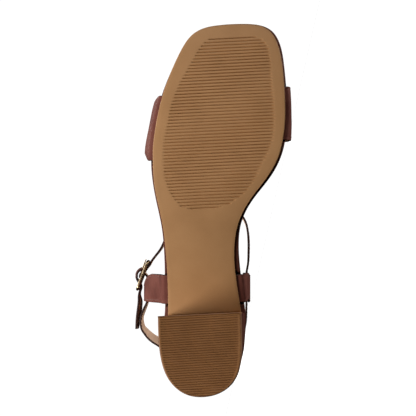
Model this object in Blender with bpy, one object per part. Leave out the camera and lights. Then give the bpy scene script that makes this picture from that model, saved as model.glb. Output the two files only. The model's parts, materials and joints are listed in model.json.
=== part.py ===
"""Right block heel sandal: ribbed outsole, wrapped footbed, toe strap, two tabs, buckled ankle strap.

Sizes are millimetres and become metres when a mesh is made. The shoe is modelled in its own axes:
u runs to the toe, v to the inner (medial) side of the foot, w up from the ground under the heel.
It is then laid on its inner side, where the heel, the footbed rim and the toe strap touch the floor.
"""

import math

import bmesh
import bpy
import numpy as np
from mathutils import Matrix, Vector

MM = 0.001
GAP = 0.3
# Every cross-section runs this much further forward for each millimetre to the inner side.
SLANT = 0.05

# Layers of the bottom, from the ground up.
LIFT_HEIGHT = 5.7
LIFT_EDGE = 0.8
OUTSOLE_THICK = 3.2
FOOTBED_THICK = 4.5
SOCK_THICK = 1.0
SOCK_INSET = 1.6
HEEL_INSET = 0.6
# The heel's front face leans back from the ground to the seat.
BREAST = 55.4
BREAST_TOP = 52.6
TOE_STATION = 247.7
BACK_STATION = 9.0
# How far the footbed stands out past the outsole at its two ends.
TOE_RIM = 0.25
BACK_RIM = 1.3
# Between these stations a level stays put when its two ends are moved out.
STILL_STATIONS = (30.0, 228.0)
BOW_POWER = 2.4
ACROSS = 8

# The outsole edge of the last: station, outer edge, inner edge, bow of the section, height of its underside,
# and how far the footbed stands out past it on the outer and the inner side.
LAST = np.array(
    [
        (9.0, -17.4, 19.2, -8.8, 41.7, 1.3, 1.3),
        (16.0, -22.2, 23.5, -9.0, 41.1, 1.3, 1.3),
        (26.0, -25.2, 26.4, -8.0, 40.2, 1.7, 1.6),
        (38.0, -25.0, 27.0, -5.0, 39.0, 2.7, 2.3),
        (48.0, -24.3, 26.9, -1.5, 37.8, 2.9, 2.8),
        (56.0, -24.0, 26.1, 0.0, 36.2, 2.3, 3.0),
        (70.0, -23.8, 24.1, 0.0, 31.8, 2.2, 3.4),
        (85.0, -24.0, 22.3, 0.0, 25.6, 1.8, 3.5),
        (100.0, -24.8, 22.2, 0.0, 18.7, 1.2, 2.8),
        (115.0, -26.2, 24.9, 0.0, 12.0, 1.0, 1.9),
        (130.0, -29.0, 32.7, 0.0, 6.2, 1.0, 1.7),
        (145.0, -31.6, 44.4, 0.0, 2.1, 1.0, 2.0),
        (160.0, -32.3, 52.4, 0.0, 0.2, 1.4, 1.8),
        (166.0, -32.3, 54.0, 0.0, 0.0, 1.3, 1.8),
        (175.0, -31.6, 55.5, 0.0, 0.0, 1.2, 1.5),
        (190.0, -29.0, 56.3, 0.0, 0.0, 1.1, 1.35),
        (205.0, -25.2, 55.7, 0.0, 0.6, 0.8, 1.3),
        (220.0, -19.7, 54.3, 0.2, 2.2, 0.35, 1.3),
        (234.5, -12.8, 51.0, 1.0, 4.6, 0.3, 1.7),
        (243.7, -5.7, 45.2, 1.6, 6.5, 0.3, 1.7),
        (247.7, 2.6, 37.6, 1.5, 7.4, 0.3, 1.1),
    ]
)
# The heel where it meets the ground: station, outer edge, inner edge, bow.
HEEL_GROUND = np.array(
    [
        (9.0, -19.5, 22.2, -9.6),
        (16.0, -23.9, 25.6, -9.4),
        (26.0, -27.1, 27.3, -8.2),
        (38.0, -28.7, 27.6, -5.0),
        (55.4, -29.2, 27.3, 0.0),
    ]
)
STATION, OUTER, INNER, BOW, UNDERSIDE, RIM_OUTER, RIM_INNER = range(7)

# Camber of the outsole's underside: station, rise of its edges, share of its half width that stays flat.
CAMBER = np.array(
    [
        (52.0, 1.8, 0.0),
        (75.0, 1.8, 0.0),
        (110.0, 1.7, 0.0),
        (130.0, 1.5, 0.25),
        (150.0, 1.2, 0.5),
        (215.0, 1.0, 0.5),
        (235.0, 0.7, 0.5),
        (250.0, 0.4, 0.5),
    ]
)

# Straps.
VAMP_THICK = 1.8
VAMP_TUCK = 9.0
POCKET_STATIONS = 5
VAMP_STATIONS = 7
# The toe strap from back to front: stations of its outer foot, outer side, crown and inner foot, rise, bulges.
VAMP = np.array(
    [
        (159.8, 165.0, 169.0, 169.0, 46.0, 3.0, 2.2),
        (182.0, 182.0, 188.0, 187.0, 40.0, 2.3, 1.1),
        (203.2, 199.6, 206.0, 205.0, 31.0, 3.7, 0.9),
    ]
)
VAMP_OUTER_FOOT, VAMP_SIDE, VAMP_CROWN, VAMP_INNER_FOOT, VAMP_RISE, VAMP_OUTER_BULGE, VAMP_INNER_BULGE = range(7)
VAMP_SPRING = 9.0
VAMP_FULLNESS = 0.8
VAMP_CROWN_SHIFT = 6.0

PATH_STEPS = 2
STRAP_STEPS = 3
STRAP_THICK = 1.5
STRAP_WIDTH = 11.0
TAB_THICK = 1.5
TAB_TUCK = 8.0
TAB_STATIONS = 5
# The fold inside a tab: how far below the strap it ends, its layers there, and its share of the tab's lean.
TAB_FOLD_END = 17.0
TAB_FOLD_LAYERS = 1.25
TAB_FOLD_LEAN = 0.2
TAB_FOLD_TURN = 1.5
TAB_STRAP_HEIGHT = 97.0
TAB_NARROWS_FROM = 70.0
TAB_NARROWING = 1.6
# How a tab climbs from its root to the strap: share of the height, share of the sideways lean.
TAB_CLIMB = ((0.3, 0.2), (0.6, 0.56), (0.85, 0.89))
# Each tab: side of the foot, back and front stations of its root, the same of its top, strap in its fold.
TABS = {
    "tab_lateral": (-1, (61.8, 82.2), (62.2, 74.4), -41.4),
    "tab_medial": (1, (60.5, 79.9), (57.6, 77.2), 29.75),
}

# The buckle lies along the strap, from its front bar to its rear bar.
BUCKLE_FRONT = Vector((90.4, -41.2, 97.0))
BUCKLE_REAR = Vector((70.9, -48.7, 97.0))
BUCKLE_WIDTH = 17.0
BUCKLE_CORNER = 3.0
BAR_RADIUS = 1.05
CENTRE_BAR_RADIUS = 0.9
PRONG_RADIUS = 0.7
PRONG_SLOT = 2.6
# The strap in the buckle: degrees round the centre bar of its sewn end and of the stretch woven over it.
SEWN_TURN = (75.0, 110.0, 150.0, 190.0, 225.0)
WOVEN_TURN = (178.0, 150.0, 120.0, 90.0, 60.0)
# Where the sewn end starts and leaves and the woven stretch leaves: along from the centre bar, out of the plane.
SEWN_START, SEWN_LEAVES, WOVEN_LEAVES = (2.4, 1.1), (-0.6, -3.0), (4.6, 2.0)
# Woven stretch before and behind the centre bar: distance from a bar, height over the line under the bars.
WOVEN_FRONT = ((-5.0, -1.4), (-0.8, -0.2), (1.6, 0.1), (3.8, 0.8))
WOVEN_REAR = ((-3.3, 1.0), (-1.4, 0.1), (0.8, 0.0))
# How far the woven stretch stands off the sewn end below it, and its inward lean in degrees.
WOVEN_SLACK = 1.2
WOVEN_LEAN = -6.0
PRONG_HOOK = (-40.0, 95.0)
PRONG_OVERHANG = 1.2
# The slot for the prong: from the front bar, past the centre bar, below and above the buckle's plane.
SLOT_START, SLOT_PAST, SLOT_BELOW, SLOT_ABOVE = 2.5, 4.5, 2.4, 3.0

# The ankle strap from the outer tab round the heel and over the instep: u, v, w, inward lean in degrees.
STRAP_ROUTE = np.array(
    [
        (76.0, -41.4, 97.0, 0.0),
        (69.5, -41.4, 97.0, 0.0),
        (63.0, -41.4, 97.0, 0.0),
        (60.0, -42.2, 97.1, 2.0),
        (55.8, -44.0, 97.3, 5.0),
        (50.6, -45.8, 97.6, 5.0),
        (44.3, -45.5, 98.0, 9.0),
        (39.2, -42.4, 98.5, 17.0),
        (34.9, -38.2, 98.9, 23.0),
        (30.4, -31.5, 99.3, 26.0),
        (20.0, -19.8, 100.0, 22.0),
        (13.6, -7.0, 100.5, 18.0),
        (13.2, 7.0, 100.5, 15.0),
        (19.5, 18.5, 100.0, 12.0),
        (30.5, 25.3, 99.0, 8.0),
        (43.0, 28.9, 97.6, 3.0),
        (56.5, 29.75, 97.0, 0.0),
        (68.0, 29.75, 97.0, 0.0),
        (79.5, 29.9, 97.0, 0.0),
        (85.5, 30.9, 97.8, 0.0),
        (93.0, 31.3, 98.9, -1.0),
        (101.5, 31.3, 100.2, -1.0),
        (108.5, 30.7, 101.5, 0.0),
        (114.5, 29.3, 102.5, 2.0),
        (120.0, 26.0, 103.4, 5.0),
        (124.4, 19.5, 104.2, 7.0),
        (126.4, 8.5, 104.5, 8.0),
        (124.3, -5.0, 104.0, 7.0),
        (117.5, -18.8, 102.5, 5.0),
        (107.5, -27.6, 100.5, 3.0),
        (98.5, -32.4, 98.5, 1.0),
    ]
)
# Free end past the buckle, in the same columns.
STRAP_FREE_END = np.array(
    [
        (60.5, -47.1, 97.0, 10.0),
        (55.0, -47.7, 97.0, 11.0),
        (50.0, -48.5, 97.0, 8.0),
        (42.3, -49.2, 97.0, 4.0),
    ]
)


def clear_scene():
    for item in list(bpy.data.objects):
        bpy.data.objects.remove(item, do_unlink=True)


def linear(channel):
    value = channel / 255
    if value <= 0.04045:
        return value / 12.92
    return ((value + 0.055) / 1.055) ** 2.4


def material(name, colour, roughness, metallic=0.0):
    made = bpy.data.materials.new(name)
    made.use_nodes = True
    shader = made.node_tree.nodes["Principled BSDF"]
    shader.inputs["Base Color"].default_value = [linear(c) for c in colour] + [1.0]
    shader.inputs["Roughness"].default_value = roughness
    shader.inputs["Metallic"].default_value = metallic
    return made


def through(known, values, where):
    """Smooth curve through the known values, read at each place."""
    slopes = np.gradient(values, known)
    left = np.clip(np.searchsorted(known, where) - 1, 0, len(known) - 2)
    span = known[left + 1] - known[left]
    t = (where - known[left]) / span
    return (
        values[left] * (2 * t**3 - 3 * t**2 + 1)
        + values[left + 1] * (3 * t**2 - 2 * t**3)
        + slopes[left] * span * (t**3 - 2 * t**2 + t)
        + slopes[left + 1] * span * (t**3 - t**2)
    )


def smooth_step(value, low, high):
    share = np.clip((value - low) / (high - low), 0.0, 1.0)
    return share**2 * (3 - 2 * share)


def of_last(column, station, table=LAST):
    return through(table[:, STATION], table[:, column], np.asarray(station, float))


def underside(station):
    return np.maximum(of_last(UNDERSIDE, station), 0.0)


def outsole_top(station):
    return underside(station) + OUTSOLE_THICK


def footbed_bottom(station):
    return outsole_top(station) + GAP


def footbed_top(station):
    return footbed_bottom(station) + FOOTBED_THICK


def sock_bottom(station):
    return footbed_top(station) + GAP


def sock_top(station):
    return sock_bottom(station) + SOCK_THICK


def ground(station):
    return 0 * station


def spline(points, steps):
    """Smooth curve through the given points, with so many steps from each one to the next."""
    points = np.asarray(points, float)
    lengths = np.linalg.norm(np.diff(points, axis=0), axis=1)
    run = np.concatenate([[0.0], np.cumsum(lengths)])
    places = np.linspace(0.0, len(points) - 1, steps * (len(points) - 1) + 1)
    where = np.interp(places, np.arange(len(points)), run)
    return np.stack([through(run, column, where) for column in points.T], axis=1)


def in_metres(points):
    """Shoe sizes to metres, with the slant of the sections."""
    points = np.array(points, float)
    points[:, 0] += SLANT * points[:, 1]
    return points * MM


def mesh_object(name, points, faces, finish, keep=True):
    mesh = bpy.data.meshes.new(name)
    mesh.from_pydata(in_metres(points).tolist(), [], faces)
    work = bmesh.new()
    work.from_mesh(mesh)
    bmesh.ops.recalc_face_normals(work, faces=work.faces)
    work.to_mesh(mesh)
    work.free()
    mesh.shade_smooth()
    mesh.set_sharp_from_angle(angle=math.radians(35))
    made = bpy.data.objects.new(name, mesh)
    bpy.context.scene.collection.objects.link(made)
    if keep:
        mesh.materials.append(finish)
    else:
        made.hide_render = True
        made.display_type = "WIRE"
    return made


def slab(name, low, high, finish, keep=True):
    """Closed solid between two grids of points with the same rows and columns."""
    rows, columns = low.shape[:2]
    count = rows * columns
    points = np.concatenate([low.reshape(-1, 3), high.reshape(-1, 3)])
    faces = []
    for r in range(rows - 1):
        for c in range(columns - 1):
            corner = r * columns + c
            quad = (corner, corner + 1, corner + columns + 1, corner + columns)
            faces.append(quad)
            faces.append(tuple(count + i for i in reversed(quad)))
    first = [c for c in range(columns)]
    last = [(rows - 1) * columns + c for c in range(columns)]
    left = [r * columns for r in range(rows)]
    right = [r * columns + columns - 1 for r in range(rows)]
    for edge in (first, last, left, right):
        for a, b in zip(edge, edge[1:]):
            faces.append((a, b, b + count, a + count))
    return mesh_object(name, points, faces, finish, keep)


def camber(station, side):
    """Rise of the outsole's underside at a share of its half width."""
    rise = np.interp(station, CAMBER[:, 0], CAMBER[:, 1])
    flat = np.interp(station, CAMBER[:, 0], CAMBER[:, 2])
    return rise * np.clip((np.abs(side) - flat) / (1 - flat), 0.0, 1.0) ** 2


def footbed_edge(side, station):
    """Edge of the footbed at a station; side is -1 outer, 1 inner."""
    if side < 0:
        return of_last(OUTER, station) - of_last(RIM_OUTER, station)
    return of_last(INNER, station) + of_last(RIM_INNER, station)


def level_grid(stations, outer, inner, bow, reach, height):
    """Grid of one level of the bottom; reach moves its two ends outwards, height is a function."""
    ends = np.interp(stations, [BACK_STATION, *STILL_STATIONS, TOE_STATION], [-1.0, 0.0, 0.0, 1.0])
    side = np.linspace(-1.0, 1.0, ACROSS + 1)[None, :]
    v = ((outer + inner)[:, None] + side * (inner - outer)[:, None]) / 2
    moved = stations + reach * ends
    u = moved[:, None] + bow[:, None] * (1 - np.abs(side) ** BOW_POWER)
    w = np.broadcast_to(height(moved)[:, None], v.shape)
    return np.stack([u, v, w], axis=2)


def sole_plate(stations, height):
    """Grid with the outline of the outsole."""
    return level_grid(
        stations, of_last(OUTER, stations), of_last(INNER, stations), of_last(BOW, stations), 0.0, height
    )


def footbed_plate(stations, inset, height):
    """Grid with the outline of the footbed, or one inside it."""
    reach = np.interp(stations, [BACK_STATION, TOE_STATION], [BACK_RIM, TOE_RIM]) - inset
    outer = footbed_edge(-1, stations) + inset
    inner = footbed_edge(1, stations) - inset
    return level_grid(stations, outer, inner, of_last(BOW, stations), reach, height)


def heel_plate(stations, height):
    """Grid with the outline of the heel on the ground."""
    columns = [of_last(column, stations, HEEL_GROUND) for column in (OUTER, INNER, BOW)]
    return level_grid(stations, *columns, 0.0, height)


def ribbon(grid, thick):
    """The two faces of a strip whose middle surface is the grid of points."""
    along = np.gradient(grid, axis=1)
    over = np.gradient(grid, axis=0)
    normal = np.cross(along, over)
    normal /= np.linalg.norm(normal, axis=2, keepdims=True)
    return grid - normal * thick / 2, grid + normal * thick / 2


def tube(name, path, radius, finish, closed=False, sides=10):
    """Round bar along a path, with flat ends unless it closes on itself."""
    path = np.asarray(path, float)
    if closed:
        along = np.roll(path, -1, axis=0) - np.roll(path, 1, axis=0)
    else:
        along = np.gradient(path, axis=0)
    along /= np.linalg.norm(along, axis=1, keepdims=True)
    plane = np.linalg.svd(path - path.mean(axis=0))[2][2]
    across = np.cross(along, plane)
    across /= np.linalg.norm(across, axis=1, keepdims=True)
    turn = np.linspace(0, 2 * math.pi, sides, endpoint=False)
    ring = np.cos(turn)[None, :, None] * across[:, None, :] + np.sin(turn)[None, :, None] * plane
    points = (path[:, None, :] + radius * ring).reshape(-1, 3)
    faces = []
    count = len(path)
    for i in range(count if closed else count - 1):
        here = i * sides
        there = (i + 1) % count * sides
        for j in range(sides):
            k = (j + 1) % sides
            faces.append((here + j, here + k, there + k, there + j))
    if not closed:
        faces.append(tuple(range(sides)))
        faces.append(tuple((count - 1) * sides + j for j in range(sides)))
    return mesh_object(name, points, faces, finish)


def cut(target, cutter):
    modifier = target.modifiers.new("cut_" + cutter.name, "BOOLEAN")
    modifier.operation = "DIFFERENCE"
    modifier.solver = "EXACT"
    modifier.object = cutter


def heel_grid(level):
    """Grid of the straight-sided heel at a level above the ground, at most up to the seat."""
    stations = np.array([BACK_STATION, 12.0, 16.0, 21.0, 26.0, 32.0, 38.0, 44.0, 50.0, BREAST])
    seat_stations = np.interp(stations, [BACK_STATION, 26.0, BREAST], [BACK_STATION, 26.0, BREAST_TOP])
    seat = footbed_plate(seat_stations, HEEL_INSET, outsole_top)
    base = heel_plate(stations, ground)
    share = np.minimum(level / seat[:, :, 2:], 1.0)
    return base + (seat - base) * share


def make_heel(leather, rubber):
    slab("heel_block", heel_grid(LIFT_HEIGHT + GAP), heel_grid(math.inf), leather)
    base = heel_grid(0.0)
    middle = base.reshape(-1, 3).mean(axis=0)
    size = np.ptp(base.reshape(-1, 3), axis=0)
    shrink = np.array([1 - 2 * LIFT_EDGE / size[0], 1 - 2 * LIFT_EDGE / size[1], 1.0])
    tread = middle + (base - middle) * shrink
    slab("top_lift", tread, heel_grid(LIFT_HEIGHT), rubber)


def make_bottom(tread, leather, lining):
    forepart = np.array(
        [BREAST_TOP + 2 * GAP, 62, 70, 78, 86, 94, 102, 110, 118, 126, 134, 142, 150, 158, 166, 175, 183]
        + [190, 198, 206, 214, 222, 229, 235, 240, 244, TOE_STATION]
    )
    whole = np.concatenate([[BACK_STATION, 13, 18, 24, 31, 38, 46], forepart])
    tread_low = sole_plate(forepart, underside)
    tread_low[:, :, 2] += camber(forepart[:, None], np.linspace(-1.0, 1.0, ACROSS + 1)[None, :])
    slab("outsole", tread_low, sole_plate(forepart, outsole_top), tread)
    board_low = footbed_plate(whole, 0.0, footbed_bottom)
    board = slab("footbed", board_low, footbed_plate(whole, 0.0, footbed_top), leather)
    lining_low = footbed_plate(whole, SOCK_INSET, sock_bottom)
    slab("sock_lining", lining_low, footbed_plate(whole, SOCK_INSET, sock_top), lining)
    return board


def tucked_foot(edge, side, station, thick, tuck):
    """Strap path from under the footbed, round its edge and up its side; side is -1 outer, 1 inner."""
    lay = footbed_bottom(station) + thick / 2
    stand = edge + side * (GAP + thick / 2)
    bend = thick
    corner = []
    for degrees in (-90.0, -60.0, -30.0, 0.0):
        angle = math.radians(degrees)
        corner.append((stand - side * bend * (1 - math.cos(angle)), lay + bend * (1 + math.sin(angle))))
    return [(edge - side * tuck, lay), (edge - side * tuck / 2, lay)] + corner


def vamp_path(share):
    """Middle line of the toe strap at a share of its length, from its outer foot to its inner one."""
    places = np.linspace(0.0, 1.0, len(VAMP))
    row = [float(through(places, column, np.array([share]))[0]) for column in VAMP.T]
    outer_edge = float(footbed_edge(-1, row[VAMP_OUTER_FOOT]))
    inner_edge = float(footbed_edge(1, row[VAMP_INNER_FOOT]))
    outer_foot = tucked_foot(outer_edge, -1, row[VAMP_OUTER_FOOT], VAMP_THICK, VAMP_TUCK)
    inner_foot = tucked_foot(inner_edge, 1, row[VAMP_INNER_FOOT], VAMP_THICK, VAMP_TUCK)
    stand = GAP + VAMP_THICK / 2
    outer_v = outer_edge - stand - row[VAMP_OUTER_BULGE]
    inner_v = inner_edge + stand + row[VAMP_INNER_BULGE]
    outer_w = float(footbed_top(row[VAMP_OUTER_FOOT])) + VAMP_SPRING
    inner_w = float(footbed_top(row[VAMP_INNER_FOOT])) + VAMP_SPRING
    arch = []
    for angle in np.linspace(0.0, math.pi, 15):
        c = math.cos(angle)
        s = math.sin(angle)
        share_over = (1 - math.copysign(abs(c) ** VAMP_FULLNESS, c)) / 2
        v = outer_v + (inner_v - outer_v) * share_over + VAMP_CROWN_SHIFT * s**2
        w = outer_w + (inner_w - outer_w) * share_over + (row[VAMP_RISE] - VAMP_SPRING) * s**VAMP_FULLNESS
        arch.append((v, w))
    section = spline(outer_foot + arch + inner_foot[::-1], PATH_STEPS)
    feet_points = len(outer_foot) * PATH_STEPS
    index = np.arange(len(section))
    over = smooth_step(index, feet_points, len(section) - 1 - feet_points)
    knots = np.array([0.0, 0.5, 1.0])
    stations = through(knots, np.array([row[VAMP_SIDE], row[VAMP_CROWN], row[VAMP_INNER_FOOT]]), over)
    # The outer foot runs out to its own station below the side of the foot.
    foot = 1 - smooth_step(index, feet_points - PATH_STEPS, feet_points)
    stations += (row[VAMP_OUTER_FOOT] - row[VAMP_SIDE]) * foot
    return np.column_stack([stations, section])


def pocket(name, side, first, last, thick, tuck, board):
    """Cuts room under the footbed's edge for a strap end tucked in between two stations."""
    stations = np.linspace(first - GAP, last + GAP, POCKET_STATIONS)
    edge = footbed_edge(side, stations)
    reach = np.array([-side * (tuck + 2 * GAP), side * (thick + 2 * GAP)])
    v = edge[:, None] + reach[None, :]
    u = np.broadcast_to(stations[:, None], v.shape)
    bottom = np.broadcast_to(footbed_bottom(stations)[:, None], v.shape)
    low = np.stack([u, v, bottom - thick], axis=2)
    high = np.stack([u, v, bottom + thick + 2 * GAP], axis=2)
    cut(board, slab(name, low, high, None, keep=False))


def make_vamp(board, leather):
    grid = np.array([vamp_path(share) for share in np.linspace(0.0, 1.0, VAMP_STATIONS)])
    low, high = ribbon(grid, VAMP_THICK)
    slab("vamp_strap", low, high, leather)
    for name, side, column in (("outer", -1, VAMP_OUTER_FOOT), ("inner", 1, VAMP_INNER_FOOT)):
        first, last = VAMP[0, column], VAMP[-1, column]
        pocket("vamp_pocket_" + name, side, first, last, VAMP_THICK, VAMP_TUCK, board)


def tab_path(side, station, strap_v):
    """Middle line of a tab: tucked end, up its side, over the strap and down inside as a fold."""
    edge = float(footbed_edge(side, station))
    foot = tucked_foot(edge, side, station, TAB_THICK, TAB_TUCK)
    clear = STRAP_THICK / 2 + GAP + TAB_THICK / 2
    outside = strap_v + side * clear
    inside = strap_v - side * clear
    shoulder = TAB_STRAP_HEIGHT + STRAP_WIDTH / 2
    hem = TAB_STRAP_HEIGHT - STRAP_WIDTH / 2
    start_v, start_w = foot[-1]
    rise = hem - start_w
    lean = outside - start_v
    climb = []
    for share, drift in TAB_CLIMB:
        climb.append((start_v + lean * drift, start_w + rise * share))
    over = []
    for degrees in (0.0, 45.0, 90.0, 135.0, 180.0):
        angle = math.radians(degrees)
        over.append((strap_v + side * clear * math.cos(angle), shoulder + GAP + clear * math.sin(angle)))
    layer = (TAB_THICK + GAP) * TAB_FOLD_LAYERS
    low_v, low_w = climb[-1]
    fold = [
        (inside, TAB_STRAP_HEIGHT),
        (inside, hem + TAB_FOLD_TURN),
        (low_v - side * layer, low_w),
        (low_v - side * layer - lean * TAB_FOLD_LEAN, hem - TAB_FOLD_END),
    ]
    return spline(foot + climb + [(outside, hem), (outside, TAB_STRAP_HEIGHT)] + over + fold, PATH_STEPS)


def make_tab(name, side, root, top, strap_v, board, leather):
    rows = []
    for share in np.linspace(0.0, 1.0, TAB_STATIONS):
        root_station = root[0] + (root[1] - root[0]) * share
        top_station = top[0] + (top[1] - top[0]) * share
        section = tab_path(side, root_station, strap_v)
        full = TAB_STRAP_HEIGHT - STRAP_WIDTH / 2 - TAB_NARROWS_FROM
        narrowing = np.clip((section[:, 1] - TAB_NARROWS_FROM) / full, 0.0, 1.0) ** TAB_NARROWING
        rows.append(np.column_stack([root_station + (top_station - root_station) * narrowing, section]))
    low, high = ribbon(np.array(rows), TAB_THICK)
    slab(name, low, high, leather)
    pocket(name + "_pocket", side, root[0], root[1], TAB_THICK, TAB_TUCK, board)


def buckle_axes():
    """Directions along the buckle to its rear bar, out of its plane, and up."""
    length = (BUCKLE_REAR - BUCKLE_FRONT).length
    along = (BUCKLE_REAR - BUCKLE_FRONT) / length
    up = Vector((0, 0, 1))
    out = up.cross(along)
    if out.y > 0:
        out = -out
    return length, along, out, up


def at_buckle(t, n, h=0.0):
    """Place in the shoe of a point t along the buckle, n out of its plane, h up from its middle."""
    along, out, up = buckle_axes()[1:]
    return np.array(BUCKLE_FRONT + along * t + out * n + up * h)


def at_bar(centre, radius, degrees):
    """Place on a circle round the buckle's centre bar; 0 degrees points to the rear bar, 90 out."""
    angle = math.radians(degrees)
    return at_buckle(centre + radius * math.cos(angle), radius * math.sin(angle))


def strap_line():
    """Middle line of the ankle strap, from its end sewn round the centre bar to its free tip."""
    length = buckle_axes()[0]
    centre = length / 2
    around = CENTRE_BAR_RADIUS + GAP + STRAP_THICK / 2
    over = around + STRAP_THICK + WOVEN_SLACK
    under = -(BAR_RADIUS + GAP + STRAP_THICK / 2)
    places = [at_buckle(centre + SEWN_START[0], SEWN_START[1])]
    places += [at_bar(centre, around, degrees) for degrees in SEWN_TURN]
    places.append(at_buckle(centre + SEWN_LEAVES[0], SEWN_LEAVES[1]))
    sewn = [np.append(place, 0.0) for place in places]
    places = [at_buckle(along, under + rise) for along, rise in WOVEN_FRONT]
    leans = [0.0] * len(places) + [WOVEN_LEAN] * len(WOVEN_TURN) + [0.0] * (1 + len(WOVEN_REAR))
    places += [at_bar(centre, over, degrees) for degrees in WOVEN_TURN]
    places.append(at_buckle(centre + WOVEN_LEAVES[0], WOVEN_LEAVES[1]))
    places += [at_buckle(length + along, under + rise) for along, rise in WOVEN_REAR]
    woven = [np.append(place, lean) for place, lean in zip(places, leans)]
    return np.array(sewn + list(STRAP_ROUTE) + woven + list(STRAP_FREE_END))


def make_ankle_strap(leather):
    line = spline(strap_line(), STRAP_STEPS)
    places = line[:, :3]
    lean = np.radians(line[:, 3])[:, None]
    along = np.gradient(places, axis=0)
    along /= np.linalg.norm(along, axis=1, keepdims=True)
    up = np.array([0.0, 0.0, 1.0])
    sideways = np.cross(along, up)
    sideways /= np.linalg.norm(sideways, axis=1, keepdims=True)
    # The strap runs clockwise seen from above, so its right hand points into the loop.
    width = up * np.cos(lean) + sideways * np.sin(lean)
    grid = np.array([places + width * share * STRAP_WIDTH for share in (-0.5, 0.0, 0.5)])
    low, high = ribbon(grid, STRAP_THICK)
    strap = slab("ankle_strap", low, high, leather)
    centre = buckle_axes()[0] / 2
    ends = (SLOT_START, centre + SLOT_PAST)
    box = [
        [[at_buckle(t, n, h) for t in ends] for h in (-PRONG_SLOT / 2, PRONG_SLOT / 2)]
        for n in (-SLOT_BELOW, SLOT_ABOVE)
    ]
    cut(strap, slab("prong_slot", np.array(box[0]), np.array(box[1]), None, keep=False))


def make_buckle(metal):
    length = buckle_axes()[0]
    half = BUCKLE_WIDTH / 2 - BAR_RADIUS
    corners = (
        (BUCKLE_CORNER, half - BUCKLE_CORNER, 180.0, 90.0),
        (length - BUCKLE_CORNER, half - BUCKLE_CORNER, 90.0, 0.0),
        (length - BUCKLE_CORNER, BUCKLE_CORNER - half, 0.0, -90.0),
        (BUCKLE_CORNER, BUCKLE_CORNER - half, -90.0, -180.0),
    )
    path = []
    for t, h, start, end in corners:
        for degrees in np.linspace(start, end, 5):
            angle = math.radians(degrees)
            path.append(at_buckle(t + BUCKLE_CORNER * math.cos(angle), 0.0, h + BUCKLE_CORNER * math.sin(angle)))
    frame = tube("buckle_frame", path, BAR_RADIUS, metal, closed=True)
    bar_line = [at_buckle(length / 2, 0.0, h) for h in (-half, 0.0, half)]
    bar = tube("centre_bar", bar_line, CENTRE_BAR_RADIUS, metal)
    bar.hide_render = True
    bar.display_type = "WIRE"
    joint = frame.modifiers.new("centre_bar", "BOOLEAN")
    joint.operation = "UNION"
    joint.solver = "EXACT"
    joint.object = bar
    around = CENTRE_BAR_RADIUS + GAP + PRONG_RADIUS
    hook = [at_bar(length / 2, around, degrees) for degrees in np.linspace(*PRONG_HOOK, 8)]
    rest = BAR_RADIUS + GAP + PRONG_RADIUS
    hook += [at_buckle(length * 0.25, (around + rest) / 2), at_buckle(-PRONG_OVERHANG, rest)]
    tube("buckle_prong", hook, PRONG_RADIUS, metal, sides=8)


def extreme(name, direction, reach=None):
    """The point of a named solid that lies furthest in a direction, ahead of reach being ignored."""
    points = [vertex.co for vertex in bpy.data.objects[name].data.vertices]
    if reach is not None:
        points = [point for point in points if point.x < reach]
    return max(points, key=lambda point: point.dot(direction))


def lay_on_side():
    """Turns the shoe about its three lowest points, so that its inner side rests on the floor."""
    down = Vector((0.2, 1.0, 0.0)).normalized()
    for _ in range(8):
        lift = extreme("top_lift", down)
        seat = extreme("footbed", down, BREAST * MM)
        vamp = extreme("vamp_strap", down)
        turned = (seat - lift).cross(vamp - lift).normalized()
        down = turned if turned.dot(down) > 0 else -turned
    up = -down
    toe = Vector((1, 0, 0))
    forward = (toe - up * toe.dot(up)).normalized()
    turn = Matrix((forward, up.cross(forward), up))
    root = bpy.data.objects.new("shoe", None)
    bpy.context.scene.collection.objects.link(root)
    solids = [item for item in bpy.data.objects if item.type == "MESH"]
    places = [turn @ v.co for item in solids if not item.hide_render for v in item.data.vertices]
    low = Vector([min(p[axis] for p in places) for axis in range(3)])
    high = Vector([max(p[axis] for p in places) for axis in range(3)])
    origin = Vector(((low.x + high.x) / 2, (low.y + high.y) / 2, low.z))
    root.matrix_world = Matrix.Translation(-origin) @ turn.to_4x4()
    for item in solids:
        item.parent = root


def main():
    clear_scene()
    leather = material("strap_leather", (112, 66, 54), 0.5)
    wrap = material("wrap_leather", (84, 48, 40), 0.5)
    lining = material("lining_leather", (177, 145, 123), 0.6)
    tread = material("outsole_tan", (150, 109, 72), 0.55)
    rubber = material("lift_rubber", (108, 74, 46), 0.6)
    metal = material("buckle_gold", (214, 186, 134), 0.25, 1.0)
    make_heel(wrap, rubber)
    board = make_bottom(tread, wrap, lining)
    make_vamp(board, leather)
    for name, (side, root, top, strap_v) in TABS.items():
        make_tab(name, side, root, top, strap_v, board, leather)
    make_ankle_strap(leather)
    make_buckle(metal)
    lay_on_side()


main()
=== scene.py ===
"""Looks of a right block heel sandal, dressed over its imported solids.

Sizes are millimetres in the shoe's own axes, as in the solids: u to the toe, v to the inner side of the foot,
w up from the ground. A station is the u of a point less the slant of its cross section.
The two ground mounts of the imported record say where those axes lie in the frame.
"""

import itertools
import json
import math

import bmesh
import bpy
import numpy as np
from mathutils import Matrix, Vector


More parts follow.
